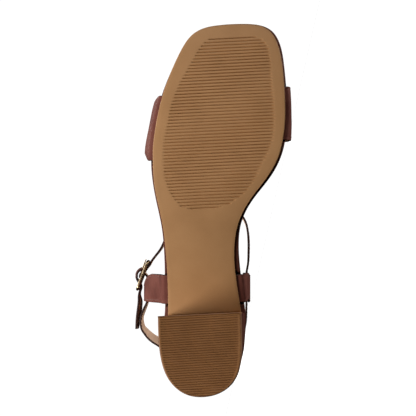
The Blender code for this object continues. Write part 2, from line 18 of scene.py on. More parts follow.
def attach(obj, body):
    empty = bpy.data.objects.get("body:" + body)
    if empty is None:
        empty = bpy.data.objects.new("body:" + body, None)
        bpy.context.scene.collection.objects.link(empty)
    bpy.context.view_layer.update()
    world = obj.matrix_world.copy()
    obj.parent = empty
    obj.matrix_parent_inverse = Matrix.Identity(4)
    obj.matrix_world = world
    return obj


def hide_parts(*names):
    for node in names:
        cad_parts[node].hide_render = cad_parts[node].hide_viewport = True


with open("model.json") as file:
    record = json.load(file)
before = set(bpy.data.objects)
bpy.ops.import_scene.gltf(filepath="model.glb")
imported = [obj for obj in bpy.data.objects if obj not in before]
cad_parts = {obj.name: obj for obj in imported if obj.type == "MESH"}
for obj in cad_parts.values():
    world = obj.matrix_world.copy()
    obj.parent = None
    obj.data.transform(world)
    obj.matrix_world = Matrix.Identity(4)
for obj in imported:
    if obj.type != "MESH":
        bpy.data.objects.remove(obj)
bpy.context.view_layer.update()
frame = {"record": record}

MM = 0.001
GAP = 0.3
SLANT = 0.05
BODY = "root"
LOOK = "_look"

# Ground mounts of the record: station, v, w.
HEEL_MOUNT = (28.0, -0.5, 0.0)
FOREFOOT_MOUNT = (178.0, 10.0, 0.0)

# Layers of the bottom.
LIFT_HEIGHT = 5.7
OUTSOLE_THICK = 3.2
FOOTBED_THICK = 4.5
SOCK_THICK = 1.0
SOCK_INSET = 1.6
SOCK_SWELL = 0.35
HEEL_INSET = 0.6
BREAST = 55.4
BREAST_TOP = 52.6
TOE_RIM = 0.25
BACK_RIM = 1.3
BOW_POWER = 2.4
# Stations between which the footbed's rim stands out to the sides alone.
RIM_MIDDLE = (30.0, 228.0)
# Levels over the underside of the outsole.
FOOTBED_LOW = OUTSOLE_THICK + GAP
FOOTBED_TOP = FOOTBED_LOW + FOOTBED_THICK
SOCK_LOW = FOOTBED_TOP + GAP
# Walls of the heel: share of its height, inset. Walls of the lift: offset, height.
HEEL_LEVELS = (
    (0.0, 0.5), (0.004, 0.2), (0.012, 0.0), (0.25, 0.0), (0.5, 0.0), (0.75, 0.0), (0.99, 0.0), (1.0, 0.3),
)
LIFT_LEVELS = ((-1.15, 0.0), (-0.95, 0.08), (-0.8, 0.35), (-0.4, 2.4), (-0.1, 5.2), (-0.3, LIFT_HEIGHT))
# Where the rows of the lift begin to follow its ribs.
LIFT_RIBS_FROM = 6.0
# Room round the strap ends under the footbed.
RECESS_ROOM = 1.2

# Angle, in degrees, from which an edge is shaded as sharp.
SHARP = 50.0

# The outsole edge of the last: station, outer edge, inner edge, bow of the section, height of its underside,
# and how far the footbed stands out past it on the outer and the inner side.
LAST = np.array([
    (9.0, -17.4, 19.2, -8.8, 41.7, 1.3, 1.3),
    (16.0, -22.2, 23.5, -9.0, 41.1, 1.3, 1.3),
    (26.0, -25.2, 26.4, -8.0, 40.2, 1.7, 1.6),
    (38.0, -25.0, 27.0, -5.0, 39.0, 2.7, 2.3),
    (48.0, -24.3, 26.9, -1.5, 37.8, 2.9, 2.8),
    (56.0, -24.0, 26.1, 0.0, 36.2, 2.3, 3.0),
    (70.0, -23.8, 24.1, 0.0, 31.8, 2.2, 3.4),
    (85.0, -24.0, 22.3, 0.0, 25.6, 1.8, 3.5),
    (100.0, -24.8, 22.2, 0.0, 18.7, 1.2, 2.8),
    (115.0, -26.2, 24.9, 0.0, 12.0, 1.0, 1.9),
    (130.0, -29.0, 32.7, 0.0, 6.2, 1.0, 1.7),
    (145.0, -31.6, 44.4, 0.0, 2.1, 1.0, 2.0),
    (160.0, -32.3, 52.4, 0.0, 0.2, 1.4, 1.8),
    (166.0, -32.3, 54.0, 0.0, 0.0, 1.3, 1.8),
    (175.0, -31.6, 55.5, 0.0, 0.0, 1.2, 1.5),
    (190.0, -29.0, 56.3, 0.0, 0.0, 1.1, 1.35),
    (205.0, -25.2, 55.7, 0.0, 0.6, 0.8, 1.3),
    (220.0, -19.7, 54.3, 0.2, 2.2, 0.35, 1.3),
    (234.5, -12.8, 51.0, 1.0, 4.6, 0.3, 1.7),
    (243.7, -5.7, 45.2, 1.6, 6.5, 0.3, 1.7),
    (247.7, 2.6, 37.6, 1.5, 7.4, 0.3, 1.1),
])
# The heel where it meets the ground: station, outer edge, inner edge, bow.
HEEL_GROUND = np.array([
    (9.0, -19.5, 22.2, -9.6),
    (16.0, -23.9, 25.6, -9.4),
    (26.0, -27.1, 27.3, -8.2),
    (38.0, -28.7, 27.6, -5.0),
    (55.4, -29.2, 27.3, 0.0),
])
# Camber of the outsole's underside: station, rise of its edges, share of its half width that stays flat.
CAMBER = np.array([
    (52.0, 1.8, 0.0),
    (75.0, 1.8, 0.0),
    (110.0, 1.7, 0.0),
    (130.0, 1.5, 0.25),
    (150.0, 1.2, 0.5),
    (215.0, 1.0, 0.5),
    (235.0, 0.7, 0.5),
    (250.0, 0.4, 0.5),
])
# Ribbed field of the outsole: station, outer end, inner end of the ribs there.
RIB_FIELD = np.array([
    (125.6, -3.0, 6.0),
    (127.0, -11.0, 15.5),
    (130.4, -15.6, 22.2),
    (133.6, -18.4, 27.4),
    (140.0, -22.0, 33.4),
    (146.5, -24.1, 37.4),
    (153.0, -24.9, 40.4),
    (159.5, -25.3, 43.9),
    (169.2, -25.1, 47.6),
    (182.5, -23.0, 49.1),
    (195.9, -20.1, 48.7),
    (209.4, -14.9, 47.4),
    (226.4, -5.4, 46.0),
    (234.7, -0.6, 43.6),
    (238.6, 3.4, 39.0),
    (240.8, 7.4, 33.0),
])
STATION, OUTER, INNER, BOW, UNDERSIDE, RIM_OUTER, RIM_INNER = range(7)

ROWS_PER_RIB = 7
RIB_COUNT = 54
RIB_PITCH = 2.13
RIB_FIRST = 126.5
RIB_DEPTH = 0.85
RIB_GROOVE = 0.88
RIB_FADE = 0.9
# Flat half of a groove's floor, as a share of its width.
GROOVE_FLAT = 0.18
# Share of a groove's depth below which its floor takes the darker finish, painted shade in the groove.
GROOVE_SHADE_SHARE = 0.3
HEEL_RIB_PITCH = 1.59
HEEL_RIB_FIRST = 0.9
HEEL_RIB_DEPTH = 0.55
HEEL_RIB_GROOVE = 0.85
HEEL_RIB_MARGIN = 1.9
HEEL_RIB_SLOPE = 0.015

# The toe strap from back to front: stations of its outer foot, outer side, crown and inner foot, rise,
# outer bulge, inner bulge.
VAMP = np.array([
    (159.8, 165.0, 169.0, 169.0, 46.0, 3.0, 2.2),
    (182.0, 182.0, 188.0, 187.0, 40.0, 2.3, 1.1),
    (203.2, 199.6, 206.0, 205.0, 31.0, 3.7, 0.9),
])
OUTER_FOOT, SIDE, CROWN, INNER_FOOT, RISE, OUTER_BULGE, INNER_BULGE = range(7)
VAMP_WIDTH = VAMP[-1, CROWN] - VAMP[0, CROWN]
VAMP_THICK = 1.8
VAMP_TUCK = 9.0
VAMP_SPRING = 9.0
VAMP_FULLNESS = 0.8
VAMP_CROWN_SHIFT = 6.0

STRAP_THICK = 1.5
STRAP_WIDTH = 11.0
TAB_THICK = 1.5
TAB_TUCK = 8.0
TAB_STRAP_HEIGHT = 97.0
TAB_NARROWS_FROM = 70.0
TAB_NARROWING = 1.6
TAB_CLIMB = ((0.3, 0.2), (0.6, 0.56), (0.85, 0.89))
# The fold inside a tab: its end below the strap, rise of its bend, layers and lean of its way down.
FOLD_END = 17.0
FOLD_BEND = 1.5
FOLD_LAYERS = 1.25
FOLD_LEAN = 0.2
# Each tab: side of the foot, back and front stations of its root, the same of its top, strap in its fold.
TABS = {
    "tab_lateral": (-1, (61.8, 82.2), (62.2, 74.4), -41.4),
    "tab_medial": (1, (60.5, 79.9), (57.6, 77.2), 29.75),
}

# The buckle lies along the strap, from its front bar to its rear bar.
BUCKLE_FRONT = Vector((90.4, -41.2, 97.0))
BUCKLE_REAR = Vector((70.9, -48.7, 97.0))
BUCKLE_LENGTH = (BUCKLE_REAR - BUCKLE_FRONT).length
BUCKLE_CENTRE = BUCKLE_LENGTH / 2
BUCKLE_ALONG = (BUCKLE_REAR - BUCKLE_FRONT) / BUCKLE_LENGTH
BUCKLE_UP = Vector((0, 0, 1))
BUCKLE_OUT = BUCKLE_UP.cross(BUCKLE_ALONG)
BUCKLE_WIDTH = 17.0
BUCKLE_CORNER = 3.0
BAR_RADIUS = 1.05
CENTRE_BAR_RADIUS = 0.9
PRONG_RADIUS = 0.7
PRONG_SLOT = 2.6
PRONG_HOOK = (-40.0, 95.0)
PRONG_OVERHANG = 1.2
# Taper of the prong: shares of its length, shares of its radius there.
PRONG_TAPER = ((0.0, 0.7, 0.97, 1.0), (1.0, 1.0, 0.75, 0.4))
# The slot for the prong: from the front bar, past the centre bar, below and above the buckle's plane.
SLOT_START, SLOT_PAST, SLOT_BELOW, SLOT_ABOVE = 2.53, 4.47, 2.43, 3.02

# The strap at the buckle: turns in degrees round the centre bar, and places along and out from a bar.
SEWN_START = (2.4, 1.1)
SEWN_TURN = (75.0, 110.0, 150.0, 190.0, 225.0)
SEWN_END = (-0.6, -3.0)
WOVEN_FRONT = ((-5.0, -1.4), (-0.8, -0.2), (1.6, 0.1), (3.8, 0.8))
WOVEN_TURN = (178.0, 150.0, 120.0, 90.0, 60.0)
WOVEN_PAST_CENTRE = (4.6, 2.0)
WOVEN_REAR = ((-3.3, 1.0), (-1.4, 0.1), (0.8, 0.0))
WOVEN_SLACK = 1.2
WOVEN_LEAN = -6.0
# The ankle strap from the outer tab round the heel and over the instep: station, v, w, lean in degrees.
STRAP_ROUTE = np.array([
    (76.0, -41.4, 97.0, 0.0),
    (69.5, -41.4, 97.0, 0.0),
    (63.0, -41.4, 97.0, 0.0),
    (60.0, -42.2, 97.1, 2.0),
    (55.8, -44.0, 97.3, 5.0),
    (50.6, -45.8, 97.6, 5.0),
    (44.3, -45.5, 98.0, 9.0),
    (39.2, -42.4, 98.5, 17.0),
    (34.9, -38.2, 98.9, 23.0),
    (30.4, -31.5, 99.3, 26.0),
    (20.0, -19.8, 100.0, 22.0),
    (13.6, -7.0, 100.5, 18.0),
    (13.2, 7.0, 100.5, 15.0),
    (19.5, 18.5, 100.0, 12.0),
    (30.5, 25.3, 99.0, 8.0),
    (43.0, 28.9, 97.6, 3.0),
    (56.5, 29.75, 97.0, 0.0),
    (68.0, 29.75, 97.0, 0.0),
    (79.5, 29.9, 97.0, 0.0),
    (85.5, 30.9, 97.8, 0.0),
    (93.0, 31.3, 98.9, -1.0),
    (101.5, 31.3, 100.2, -1.0),
    (108.5, 30.7, 101.5, 0.0),
    (114.5, 29.3, 102.5, 2.0),
    (120.0, 26.0, 103.4, 5.0),
    (124.4, 19.5, 104.2, 7.0),
    (126.4, 8.5, 104.5, 8.0),
    (124.3, -5.0, 104.0, 7.0),
    (117.5, -18.8, 102.5, 5.0),
    (107.5, -27.6, 100.5, 3.0),
    (98.5, -32.4, 98.5, 1.0),
])
STRAP_FREE_END = np.array([
    (60.5, -47.1, 97.0, 10.0),
    (55.0, -47.7, 97.0, 11.0),
    (50.0, -48.5, 97.0, 8.0),
    (42.3, -49.2, 97.0, 4.0),
])

# Bands: rounded edges, sunken seams, rows across and steps along them.
EDGE_ROUND = 0.55
EDGE_POWER = 2.4
EDGE_ROWS = (0.0, 0.06, 0.2, 0.45, 0.75, 1.0)
EDGE_PAINTED = 0.8
SEAM_DEPTH = 0.12
SEAM_WIDTH = 0.45
SEAM_ROWS = (-0.6, -0.3, 0.0, 0.3, 0.6)
ROW_SPACING = 1.6
BAND_STEPS = 6
# Finishes of a band, by their number.
FACE, LINING, PAINT = range(3)

# Sewing.
STITCH_PITCH = 2.9
STITCH_LENGTH = 2.3
STITCH_WIDTH = 0.55
STITCH_FLATNESS = 0.42
STITCH_INSET = 2.0
STITCH_BLUNTNESS = 0.6

# Leathers: dark, middle and light tone.
LEATHERS = {
    "strap_leather_brown": ((82, 46, 39), (103, 61, 52), (116, 72, 62)),
    "wrap_leather_brown": ((66, 37, 31), (84, 49, 41), (100, 60, 50)),
}
# Sheets: dark, middle and light tone, scales of patches and specks, roughness, strength of the relief.
SHEETS = {
    "lining_tan": ((194, 158, 130), (212, 177, 149), (222, 191, 165), 70.0, 2400.0, (0.55, 0.75), 0.2),
    "edge_paint_dark": ((36, 21, 18), (50, 30, 25), (62, 38, 31), 120.0, 1800.0, (0.35, 0.5), 0.2),
    "outsole_tan_sheet": ((153, 113, 74), (160, 119, 79), (166, 125, 84), 45.0, 1500.0, (0.42, 0.58), 0.1),
    # Groove floors of the outsole: a darker tan as painted shade in the grooves.
    "outsole_tan_groove_painted_shade": ((146, 102, 62), (154, 109, 68), (161, 116, 74), 45.0, 1500.0, (0.5, 0.65), 0.2),
    "lift_rubber_brown": ((117, 79, 45), (125, 85, 49), (132, 91, 54), 60.0, 1500.0, (0.45, 0.6), 0.08),
    # Groove floors of the lift: a darker rubber as painted shade in the grooves.
    "lift_rubber_groove_painted_shade": ((98, 63, 35), (107, 70, 40), (114, 76, 45), 60.0, 1500.0, (0.5, 0.65), 0.08),
    "lift_wall_tan": ((112, 78, 54), (132, 94, 67), (144, 105, 76), 60.0, 1500.0, (0.45, 0.6), 0.2),
}

# The photograph's view: the point of the sole at its middle, its distance and the height of the lens.
VIEW_MIDDLE = (126.15, 4.7, 0.0)
VIEW_DISTANCE = 1.2
VIEW_HEIGHT = 0.003
VIEW_WIDTH = 0.2779
SENSOR = 36.0

# Lamps of the studio: place, size, power. The one under the floor stands for what a white floor throws back.
LAMP_AIM = (0.0, -0.02, 0.04)
LAMPS = {
    "bounce": ((0.70, 0.25, -0.70), 0.6, 10.0),
    "key": ((-0.84, -1.10, 1.50), 1.0, 56.0),
    "fill": ((1.6, -1.5, 0.6), 1.2, 18.0),
    "top": ((0.2, 0.9, 1.6), 1.0, 18.0),
}
WHITE = (1.0, 1.0, 1.0, 1.0)


def unit(vectors):
    """The same directions, one unit long."""
    return vectors / np.linalg.norm(vectors, axis=-1, keepdims=True)


def slanted(points):
    """The shoe's own u, v, w of points given by station, v and w."""
    points = np.array(points, float)
    points[..., 0] += SLANT * points[..., 1]
    return points


def shoe_axes():
    """Origin and the three axes of the shoe in the frame, from the record's two ground mounts."""
    mounts = {mount["name"]: mount for mount in frame["record"]["mounts"]}
    heel = np.array(mounts["heel_ground"]["pos_m"])
    ball = np.array(mounts["forefoot_ground"]["pos_m"])
    up = -unit(np.array(mounts["heel_ground"]["axis"]))
    first, second = slanted([HEEL_MOUNT, FOREFOOT_MOUNT])
    c, s, _ = unit(second - first)
    along = ball - heel
    along = unit(along - up * along.dot(up))
    sideways = np.cross(up, along)
    axes = np.array([along * c - sideways * s, along * s + sideways * c, up])
    return heel - first @ axes * MM, axes


ORIGIN, AXES = shoe_axes()


def placed(points):
    """Points given by station, v and w, in the frame and in metres."""
    return ORIGIN + slanted(points) @ AXES * MM


def through(known, values, where):
    """Smooth curve through the known values, read at each place."""
    slopes = np.gradient(values, known)
    left = np.clip(np.searchsorted(known, where) - 1, 0, len(known) - 2)
    span = known[left + 1] - known[left]
    t = (where - known[left]) / span
    return (
        values[left] * (2 * t**3 - 3 * t**2 + 1)
        + values[left + 1] * (3 * t**2 - 2 * t**3)
        + slopes[left] * span * (t**3 - 2 * t**2 + t)
        + slopes[left + 1] * span * (t**3 - t**2)
    )


def read(table, column, station):
    """A column of a table by station, read at each station."""
    return through(table[:, STATION], table[:, column], np.asarray(station, float))


def underside(station):
    return np.maximum(read(LAST, UNDERSIDE, station), 0.0)


def held(station):
    """Stations kept within those of the last."""
    return np.clip(station, LAST[0, STATION], LAST[-1, STATION])


def run_of(points):
    """Length along a line of points at each of them."""
    return np.concatenate([[0.0], np.cumsum(np.linalg.norm(np.diff(points, axis=0), axis=1))])


def at_run(where, run, values):
    """Values given along a line, at a length along it."""
    return np.array([np.interp(where, run, column) for column in values.T])


def spline(points, steps):
    """Smooth curve through the given points, with so many steps from each one to the next."""
    points = np.asarray(points, float)
    run = run_of(points)
    places = np.linspace(0.0, len(points) - 1, steps * (len(points) - 1) + 1)
    where = np.interp(places, np.arange(len(points)), run)
    return np.stack([through(run, column, where) for column in points.T], axis=1)


def closed_curve(points, count):
    """Smooth closed curve through the points, by a cubic spline that joins its own start."""
    points = np.asarray(points, float)
    size = len(points)
    after = np.roll(points, -1, axis=0)
    span = np.linalg.norm(after - points, axis=1)
    before = np.roll(span, 1)
    rise = (after - points) / span[:, None]
    following = np.roll(np.eye(size), 1, axis=1)
    matrix = np.diag(2 * (span + before)) + span[:, None] * following + before[:, None] * following.T
    bend = np.linalg.solve(matrix, 6 * (rise - np.roll(rise, 1, axis=0)))
    run = np.concatenate([[0.0], np.cumsum(span)])
    where = np.linspace(0.0, run[-1], count, endpoint=False)
    left = np.clip(np.searchsorted(run, where, side="right") - 1, 0, size - 1)
    h = span[left][:, None]
    a = ((run[left + 1] - where) / span[left])[:, None]
    b = 1 - a
    right = (left + 1) % size
    curved = (a**3 - a) * bend[left] + (b**3 - b) * bend[right]
    return a * points[left] + b * points[right] + curved * h**2 / 6


def smooth_step(value, low, high):
    t = np.clip((value - low) / (high - low), 0.0, 1.0)
    return t * t * (3 - 2 * t)


def footbed_edge(side, station):
    """Edge of the footbed at a station; side is -1 outer, 1 inner."""
    if side < 0:
        return read(LAST, OUTER, station) - read(LAST, RIM_OUTER, station)
    return read(LAST, INNER, station) + read(LAST, RIM_INNER, station)


def loop_normals(loop):
    """Outward directions of a loop that runs up the outer side and back down the inner one."""
    along = unit(np.roll(loop, -1, axis=0) - np.roll(loop, 1, axis=0))
    return np.column_stack([along[:, 1], -along[:, 0]])


class Outline:
    """Smooth outer and inner edges of a level of the bottom, read from a table by station.

    rims widens it to the footbed's edge, and margin moves it outwards.
    """

    def __init__(self, table, rims=False, margin=0.0):
        stations, outer, inner, bow = table.T[: BOW + 1]
        if rims:
            reach = np.interp(stations, stations[[0, -1]], [BACK_RIM, TOE_RIM])
            parts = [stations[0], *RIM_MIDDLE, stations[-1]]
            stations = stations + reach * np.interp(stations, parts, [-1, 0, 0, 1])
            outer = outer - table[:, RIM_OUTER]
            inner = inner + table[:, RIM_INNER]
        ends = []
        for row, shares in ((-1, (-0.5, 0.0, 0.5)), (0, (0.5, 0.0, -0.5))):
            for share in shares:
                u = stations[row] + bow[row] * (1 - abs(share) ** BOW_POWER)
                ends.append((u, (outer[row] + inner[row]) / 2 + share * (inner[row] - outer[row]) / 2))
        ring = list(zip(stations, outer)) + ends[:3] + list(zip(stations, inner))[::-1] + ends[3:]
        curve = closed_curve(ring, count=6000)
        curve = curve + margin * loop_normals(curve)
        curve = np.roll(curve, -np.argmin(curve[:, 0]), axis=0)
        toe = np.argmax(curve[:, 0])
        self.outer = curve[: toe + 1]
        self.inner = curve[toe:][::-1]
        self.back = curve[0, 0]
        self.front = curve[toe, 0]

    def sides(self, stations):
        """Outer and inner edge at each station."""
        return [np.interp(stations, edge[:, 0], edge[:, 1]) for edge in (self.outer, self.inner)]

    def loop(self, stations, columns):
        """Loop of edge points at the stations, closed by the points of the end rungs."""
        outer, inner = [np.column_stack([stations, edge]) for edge in self.sides(stations)]
        share = np.linspace(0.0, 1.0, columns + 1)[1:-1, None]
        front = outer[-1] + (inner[-1] - outer[-1]) * share
        back = inner[0] + (outer[0] - inner[0]) * share
        return np.concatenate([outer, front, inner[::-1], back])


def eased(start, end, count, open_start=True, open_end=True):
    """Stations that crowd towards an end where the outline closes, and stop just short of it."""
    t = np.linspace(0.0, 1.0, count)
    short = 0.4 / count
    if open_start and open_end:
        t = (1 - np.cos(math.pi * np.clip(t, short, 1 - short))) / 2
    elif open_start:
        t = 1 - np.cos(math.pi / 2 * np.maximum(t, short))
    else:
        t = np.sin(math.pi / 2 * np.minimum(t, 1 - short))
    return start + (end - start) * t


def linked(name, data):
    made = bpy.data.objects.new(name, data)
    bpy.context.scene.collection.objects.link(made)
    return made


def piece(name, points, faces, finishes, indices=None, sharp=SHARP):
    """A closed mesh of the shoe in its place; indices pick each face's finish."""
    mesh = bpy.data.meshes.new(name + LOOK)
    mesh.from_pydata(placed(points).tolist(), [], faces)
    for finish in finishes:
        mesh.materials.append(finish)
    if indices is not None:
        mesh.polygons.foreach_set("material_index", np.asarray(indices, np.int32))
    work = bmesh.new()
    work.from_mesh(mesh)
    bmesh.ops.recalc_face_normals(work, faces=work.faces)
    work.to_mesh(mesh)
    work.free()
    mesh.shade_smooth()
    mesh.set_sharp_from_angle(angle=math.radians(sharp))
    return linked(name + LOOK, mesh)


def ring_faces(count, size, closed=False):
    """Quads between rings of points in a row; closed joins the last to the first."""
    ring = np.arange(count if closed else count - 1)[:, None]
    here = ring * size
    there = (ring + 1) % count * size
    i = np.arange(size)
    j = (i + 1) % size
    return np.stack([here + i, here + j, there + j, there + i], axis=2).reshape(-1, 4).tolist()


def stack(
    name, loops, columns, finishes,
    low_relief=None, high_relief=None, wall_finish=0, low_finish=None, sharp=SHARP,
):
    """Closed solid through loops of the same count, from the lowest up, with ladder caps at both ends.

    A relief gives how far each point of a cap is moved up, wall_finish is the finish of all walls or of each,
    and low_finish gives that of each face of the lower cap by its middle.
    """
    size = len(loops[0])
    rungs = size // 2 - columns + 1
    points = list(loops)
    faces = ring_faces(len(loops), size)
    indices = np.broadcast_to(wall_finish, (len(loops) - 1, size)).ravel().tolist()
    total = len(loops) * size
    share = np.linspace(0.0, 1.0, columns + 1)[None, 1:-1, None]
    edge = np.arange(size)
    for base, relief, finish_of in ((0, low_relief, low_finish), (len(loops) - 1, high_relief, None)):
        ids = np.zeros((rungs, columns + 1), int)
        ids[:, 0] = edge[:rungs]
        ids[-1, 1:-1] = edge[rungs : rungs + columns - 1]
        ids[:, -1] = edge[rungs + columns - 1 : size - columns + 1][::-1]
        ids[0, 1:-1] = edge[size - columns + 1 :][::-1]
        outer = loops[base][ids[1:-1, :1]]
        inside = outer + (loops[base][ids[1:-1, -1:]] - outer) * share
        if relief:
            inside[..., 2] += relief(inside)
        ids += base * size
        ids[1:-1, 1:-1] = total + np.arange(inside.size // 3).reshape(inside.shape[:2])
        total += inside.size // 3
        points.append(inside.reshape(-1, 3))
        quads = np.stack([ids[:-1, :-1], ids[1:, :-1], ids[1:, 1:], ids[:-1, 1:]], axis=2).reshape(-1, 4)
        faces += quads.tolist()
        if finish_of:
            indices += finish_of(np.concatenate(points)[quads].mean(axis=1)).astype(int).tolist()
        else:
            indices += [0] * len(quads)
    return piece(name, np.concatenate(points), faces, finishes, indices, sharp)


def rounded(thick, low, high, steps):
    """Edge profile of a sheet with rounded lower and upper corners: offset, share of height."""
    turns = [math.pi / 2 * i / steps for i in range(steps + 1)]
    profile = [(-low * (1 - math.sin(turn)), low * (1 - math.cos(turn)) / thick) for turn in turns]
    profile += [(-high * (1 - math.cos(turn)), 1 - high * (1 - math.sin(turn)) / thick) for turn in turns]
    return profile


def layer(name, loop, columns, bottom, thick, profile, finishes, hollow=0.0, **caps):
    """Sheet of the bottom over a loop, by the height of its lower face and its thickness along the loop.

    profile lists its edge as offset and share of thickness; hollow is the depth cut into it from below.
    """
    normals = loop_normals(loop)
    loops = []
    for offset, share in profile:
        height = np.maximum(bottom + thick * share, bottom + hollow)
        loops.append(np.column_stack([loop + normals * offset, height]))
    return stack(name, loops, columns, finishes, **caps)


def camber(station, side):
    """Rise of the outsole's underside at a share of its half width."""
    rise, flat = [np.interp(station, CAMBER[:, STATION], column) for column in CAMBER.T[1:]]
    return rise * np.clip((np.abs(side) - flat) / (1 - flat), 0.0, 1.0) ** 2


def groove(phase, pitch, width):
    """1 in the middle of each groove, falling to 0 at its sides."""
    off = np.abs(phase / pitch - np.round(phase / pitch)) * pitch
    return 1 - smooth_step(off, width * GROOVE_FLAT, width / 2)


def sole_ribs(points):
    """Depth of the outsole's ribbing, inside its egg-shaped field."""
    station, v = points[..., 0], points[..., 1]
    outer = read(RIB_FIELD, OUTER, station)
    inner = read(RIB_FIELD, INNER, station)
    inside = smooth_step(v - outer, 0.0, RIB_FADE) * smooth_step(inner - v, 0.0, RIB_FADE)
    last = RIB_FIRST + (RIB_COUNT - 1) * RIB_PITCH
    inside *= (station > RIB_FIRST - RIB_PITCH / 2) & (station < last + RIB_PITCH / 2)
    return RIB_DEPTH * inside * groove(station - RIB_FIRST, RIB_PITCH, RIB_GROOVE)


def heel_outline():
    """Outline of the heel on the ground, run on straight past its front."""
    beyond = [HEEL_GROUND[-1] + [reach, 0.0, 0.0, 0.0] for reach in (15.0, 30.0, 45.0)]
    return Outline(np.vstack([HEEL_GROUND] + beyond))


def heel_ribs(points):
    """Depth of the lift's ribbing, inside a plain border."""
    station, v = points[..., 0], points[..., 1]
    outer, inner = heel_outline().sides(station)
    inside = smooth_step(np.minimum(v - outer, inner - v), HEEL_RIB_MARGIN, HEEL_RIB_MARGIN + RIB_FADE)
    inside *= station < BREAST - HEEL_RIB_MARGIN
    phase = station - HEEL_RIB_SLOPE * v - HEEL_RIB_FIRST
    return HEEL_RIB_DEPTH * inside * groove(phase, HEEL_RIB_PITCH, HEEL_RIB_GROOVE)


def make_outsole(finishes):
    columns = 86
    outline = Outline(LAST)
    step = RIB_PITCH / ROWS_PER_RIB
    field = np.arange(RIB_FIRST - 2 * RIB_PITCH, RIB_FIRST + (RIB_COUNT + 0.5) * RIB_PITCH, step)
    waist = np.linspace(BREAST_TOP + 2 * GAP, field[0], num=60)[:-1]
    toe = eased(field[-1] + step, outline.front, count=24, open_start=False)
    loop = outline.loop(np.concatenate([waist, field, toe]), columns)
    raised = camber(loop[:, 0], 1.0)
    bottom = underside(loop[:, 0]) + raised
    profile = rounded(OUTSOLE_THICK, low=0.7, high=0.3, steps=5)

    def relief(points):
        """Grooves and camber, measured from the raised edge."""
        station = points[..., 0]
        outer, inner = outline.sides(station)
        side = (2 * points[..., 1] - outer - inner) / (inner - outer)
        return sole_ribs(points) + camber(station, side) - camber(station, 1.0)

    # Floors of the grooves take the darker finish, painted shade.
    def painted_shade_in_groove(points):
        return sole_ribs(points) > RIB_DEPTH * GROOVE_SHADE_SHARE

    return layer(
        "outsole", loop, columns, bottom, OUTSOLE_THICK - raised, profile, finishes,
        low_relief=relief, low_finish=painted_shade_in_groove,
    )


def footbed_recess(points):
    """Room under the footbed for the tucked ends of the toe strap and the tabs."""
    station, v = points[..., 0], points[..., 1]
    feet = ((-1, OUTER_FOOT), (1, INNER_FOOT))
    ends = [(side, VAMP[[0, -1], foot], VAMP_THICK, VAMP_TUCK) for side, foot in feet]
    ends += [(side, root, TAB_THICK, TAB_TUCK) for side, root, _, _ in TABS.values()]
    depth = np.zeros(station.shape)
    for side, (first, last), thick, tuck in ends:
        inward = side * (footbed_edge(side, held(station)) - v)
        along = (station > first - RECESS_ROOM) & (station < last + RECESS_ROOM)
        depth = np.maximum(depth, along * (inward < tuck + RECESS_ROOM) * (thick + 2 * GAP))
    return depth


def make_footbed(finishes):
    columns = 60
    outline = Outline(LAST, True)
    loop = outline.loop(eased(outline.back, outline.front, count=300), columns)
    bottom = underside(held(loop[:, 0])) + FOOTBED_LOW
    profile = rounded(FOOTBED_THICK, low=1.2, high=1.5, steps=6)
    return layer(
        "footbed", loop, columns, bottom, FOOTBED_THICK, profile, finishes, footbed_recess(loop),
        low_relief=footbed_recess,
    )


def sock_crown(points):
    """Slight swelling of the lining sheet towards its middle."""
    station = held(points[..., 0])
    outer = read(LAST, OUTER, station)
    side = (points[..., 1] - outer) / (read(LAST, INNER, station) - outer)
    return SOCK_SWELL * np.clip(4 * side * (1 - side), 0.0, 1.0) ** 0.5


def make_sock(finishes):
    columns = 40
    outline = Outline(LAST, True, -SOCK_INSET)
    loop = outline.loop(eased(outline.back, outline.front, count=200), columns)
    bottom = underside(loop[:, 0]) + SOCK_LOW
    profile = rounded(SOCK_THICK, low=0.1, high=0.6, steps=4)
    return layer("sock_lining", loop, columns, bottom, SOCK_THICK, profile, finishes, high_relief=sock_crown)


def make_heel(finishes):
    """Block from the lift to the footbed; finishes are its leather and that of its breast."""
    rungs, columns = 90, 24
    ends = []
    for outline, front in ((heel_outline(), BREAST), (Outline(LAST, True, -HEEL_INSET), BREAST_TOP)):
        ends.append(outline.loop(eased(outline.back, front, rungs, open_end=False), columns))
    ground, seat = ends
    seat_height = underside(np.clip(seat[:, 0], LAST[0, STATION], BREAST)) + OUTSOLE_THICK
    start = LIFT_HEIGHT + GAP
    loops = []
    for share, inset in HEEL_LEVELS:
        height = start + (seat_height - start) * share
        flat = ground + (seat - ground) * (height / seat_height)[:, None]
        loops.append(np.column_stack([flat - loop_normals(flat) * inset, height]))
    on_breast = np.zeros(len(ground), int)
    on_breast[rungs - 1 : rungs + columns - 1] = 1
    return stack("heel_block", loops, columns, finishes, wall_finish=on_breast, sharp=40.0)


def make_lift(finishes):
    """Ribbed piece under the heel; finishes are those of its face, its wall and its groove floors, which are
    painted shade.
    """
    wall, floor = 1, 2
    columns = 70
    outline = heel_outline()
    step = HEEL_RIB_PITCH / ROWS_PER_RIB
    back = eased(outline.back, LIFT_RIBS_FROM, count=24, open_end=False)
    ribbed = np.arange(LIFT_RIBS_FROM, BREAST - step / 2, step)
    loop = outline.loop(np.concatenate([back[:-1], ribbed, [BREAST]]), columns)

    # Floors of the grooves take finish 2, a darker rubber as painted shade.
    def painted_shade_in_groove(points):
        return floor * (heel_ribs(points) > HEEL_RIB_DEPTH * GROOVE_SHADE_SHARE)

    # The levels are heights, so they are shares of one millimetre.
    return layer(
        "top_lift", loop, columns, np.zeros(len(loop)), 1.0, LIFT_LEVELS, finishes,
        low_relief=heel_ribs, wall_finish=wall, low_finish=painted_shade_in_groove,
    )


def across(width):
    """Shares across a band of that width, close together at its rounded edges and its seams."""
    side = np.concatenate([EDGE_ROUND * np.array(EDGE_ROWS), STITCH_INSET + np.array(SEAM_ROWS)])
    middle = np.linspace(side[-1], width - side[-1], int(width / ROW_SPACING))[1:-1]
    return np.concatenate([side, middle, width - side[::-1]]) / width


